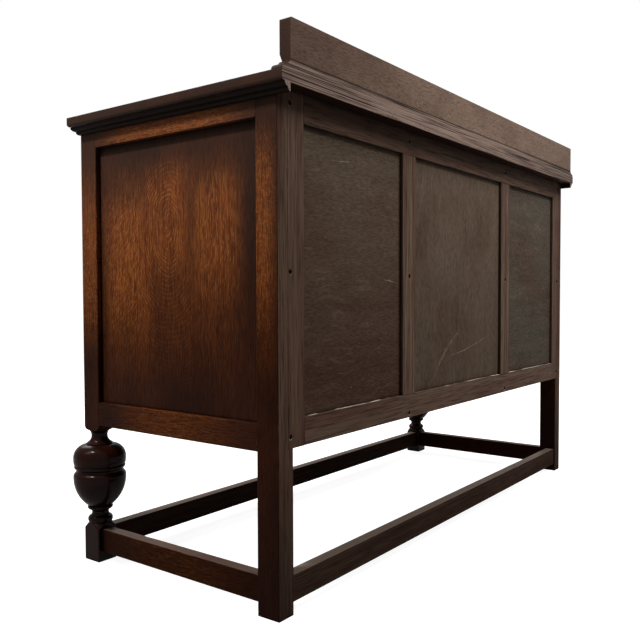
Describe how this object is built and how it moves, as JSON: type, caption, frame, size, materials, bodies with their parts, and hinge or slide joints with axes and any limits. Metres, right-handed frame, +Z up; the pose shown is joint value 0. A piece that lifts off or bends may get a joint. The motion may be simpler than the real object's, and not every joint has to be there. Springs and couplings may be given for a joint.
{
  "type": "oak sideboard",
  "caption": "Long oak sideboard on turned cup-and-cover front legs and box stretchers, with central drawers, side cupboards, brass drop handles and a low gallery at the back.",
  "frame": {"origin": "on the floor, under the middle of the box round the whole object", "axes": "+X along the length, to the right as seen from the front; +Y towards the back; +Z up"},
  "size_m": [1.3968, 0.5644, 0.9625],
  "materials": {
    "dark_oak": "dark stain under gloss varnish",
    "amber_oak": "amber stain under gloss varnish",
    "back_oak": "unpolished, grimy",
    "back_plywood": "unpolished",
    "inner_wood": "bare",
    "brass": "aged",
    "steel": "darkened"
  },
  "bodies": {
    "carcase": {"top_board": "dark_oak", "top_moulding": "dark_oak", "gallery_strip": "dark_oak", "gallery_board": "dark_oak", "front_stretcher": "dark_oak", "rear_stretcher": "dark_oak", "front_bottom_rail": "dark_oak", "front_top_rail": "dark_oak", "drawer_rails": "dark_oak", "back_stiles": "back_oak", "back_muntins": "back_oak", "back_bottom_rail": "back_oak", "back_top_rail": "back_oak", "back_panels": "back_plywood", "back_screws": "steel", "carcase_floor": "inner_wood", "battens": "inner_wood", "shelves": "inner_wood", "drawer_runners": "inner_wood", "post_hinge_leaves": "brass", "front_leg_left": "dark_oak", "rear_leg_left": "dark_oak", "end_bottom_rail_left": "dark_oak", "end_top_rail_left": "dark_oak", "end_stretcher_left": "dark_oak", "partition_left": "dark_oak", "end_panel_left": "amber_oak", "front_leg_right": "dark_oak", "rear_leg_right": "dark_oak", "end_bottom_rail_right": "dark_oak", "end_top_rail_right": "dark_oak", "end_stretcher_right": "dark_oak", "partition_right": "dark_oak", "end_panel_right": "amber_oak"},
    "door_left": {"door_frame_left": "dark_oak", "door_panel_left": "amber_oak", "door_hinge_leaves_left": "brass", "door_lock_left": "brass", "door_handle_plate_left": "brass"},
    "drop_left": {"door_drop_left": "brass"},
    "bolt_left": {"lock_bolt_left": "brass"},
    "door_right": {"door_frame_right": "dark_oak", "door_panel_right": "amber_oak", "door_hinge_leaves_right": "brass", "door_lock_right": "brass", "door_handle_plate_right": "brass"},
    "drop_right": {"door_drop_right": "brass"},
    "bolt_right": {"lock_bolt_right": "brass"},
    "bottom_drawer": {"bottom_drawer_front": "amber_oak", "bottom_drawer_box": "inner_wood", "bottom_drawer_handle_plate": "brass"},
    "bottom_drawer_handle": {"bottom_drawer_drop": "brass"},
    "middle_drawer": {"middle_drawer_front": "amber_oak", "middle_drawer_box": "inner_wood", "middle_drawer_handle_plate": "brass"},
    "middle_drawer_handle": {"middle_drawer_drop": "brass"},
    "top_drawer": {"top_drawer_front": "amber_oak", "top_drawer_box": "inner_wood", "top_drawer_handle_plate": "brass"},
    "top_drawer_handle": {"top_drawer_drop": "brass"}
  },
  "joints": [
    {"name": "door_left_hinge", "type": "hinge", "parent": "carcase", "child": "door_left", "pos_m": [-0.62625, -0.2568, 0.5685], "axis": [0, 0, -1], "range_deg": [0, 170]},
    {"name": "drop_left_swing", "type": "hinge", "parent": "door_left", "child": "drop_left", "pos_m": [-0.2825, -0.2628, 0.612], "axis": [-1, 0, 0], "range_deg": [0, 85]},
    {"name": "bolt_left_slide", "type": "slide", "parent": "door_left", "child": "bolt_left", "axis": [1, 0, 0], "range_m": [0, 0.007]},
    {"name": "door_right_hinge", "type": "hinge", "parent": "carcase", "child": "door_right", "pos_m": [0.62625, -0.2568, 0.5685], "axis": [0, 0, 1], "range_deg": [0, 170]},
    {"name": "drop_right_swing", "type": "hinge", "parent": "door_right", "child": "drop_right", "pos_m": [0.2825, -0.2628, 0.612], "axis": [-1, 0, 0], "range_deg": [0, 85]},
    {"name": "bolt_right_slide", "type": "slide", "parent": "door_right", "child": "bolt_right", "axis": [-1, 0, 0], "range_m": [0, 0.007]},
    {"name": "bottom_drawer_slide", "type": "slide", "parent": "carcase", "child": "bottom_drawer", "axis": [0, -1, 0], "range_m": [0, 0.33]},
    {"name": "bottom_drawer_drop_swing", "type": "hinge", "parent": "bottom_drawer", "child": "bottom_drawer_handle", "pos_m": [0, -0.2628, 0.42017], "axis": [-1, 0, 0], "range_deg": [0, 85]},
    {"name": "middle_drawer_slide", "type": "slide", "parent": "carcase", "child": "middle_drawer", "axis": [0, -1, 0], "range_m": [0, 0.33]},
    {"name": "middle_drawer_drop_swing", "type": "hinge", "parent": "middle_drawer", "child": "middle_drawer_handle", "pos_m": [0, -0.2628, 0.60217], "axis": [-1, 0, 0], "range_deg": [0, 85]},
    {"name": "top_drawer_slide", "type": "slide", "parent": "carcase", "child": "top_drawer", "axis": [0, -1, 0], "range_m": [0, 0.33]},
    {"name": "top_drawer_drop_swing", "type": "hinge", "parent": "top_drawer", "child": "top_drawer_handle", "pos_m": [0, -0.2628, 0.76517], "axis": [-1, 0, 0], "range_deg": [0, 85]}
  ]
}
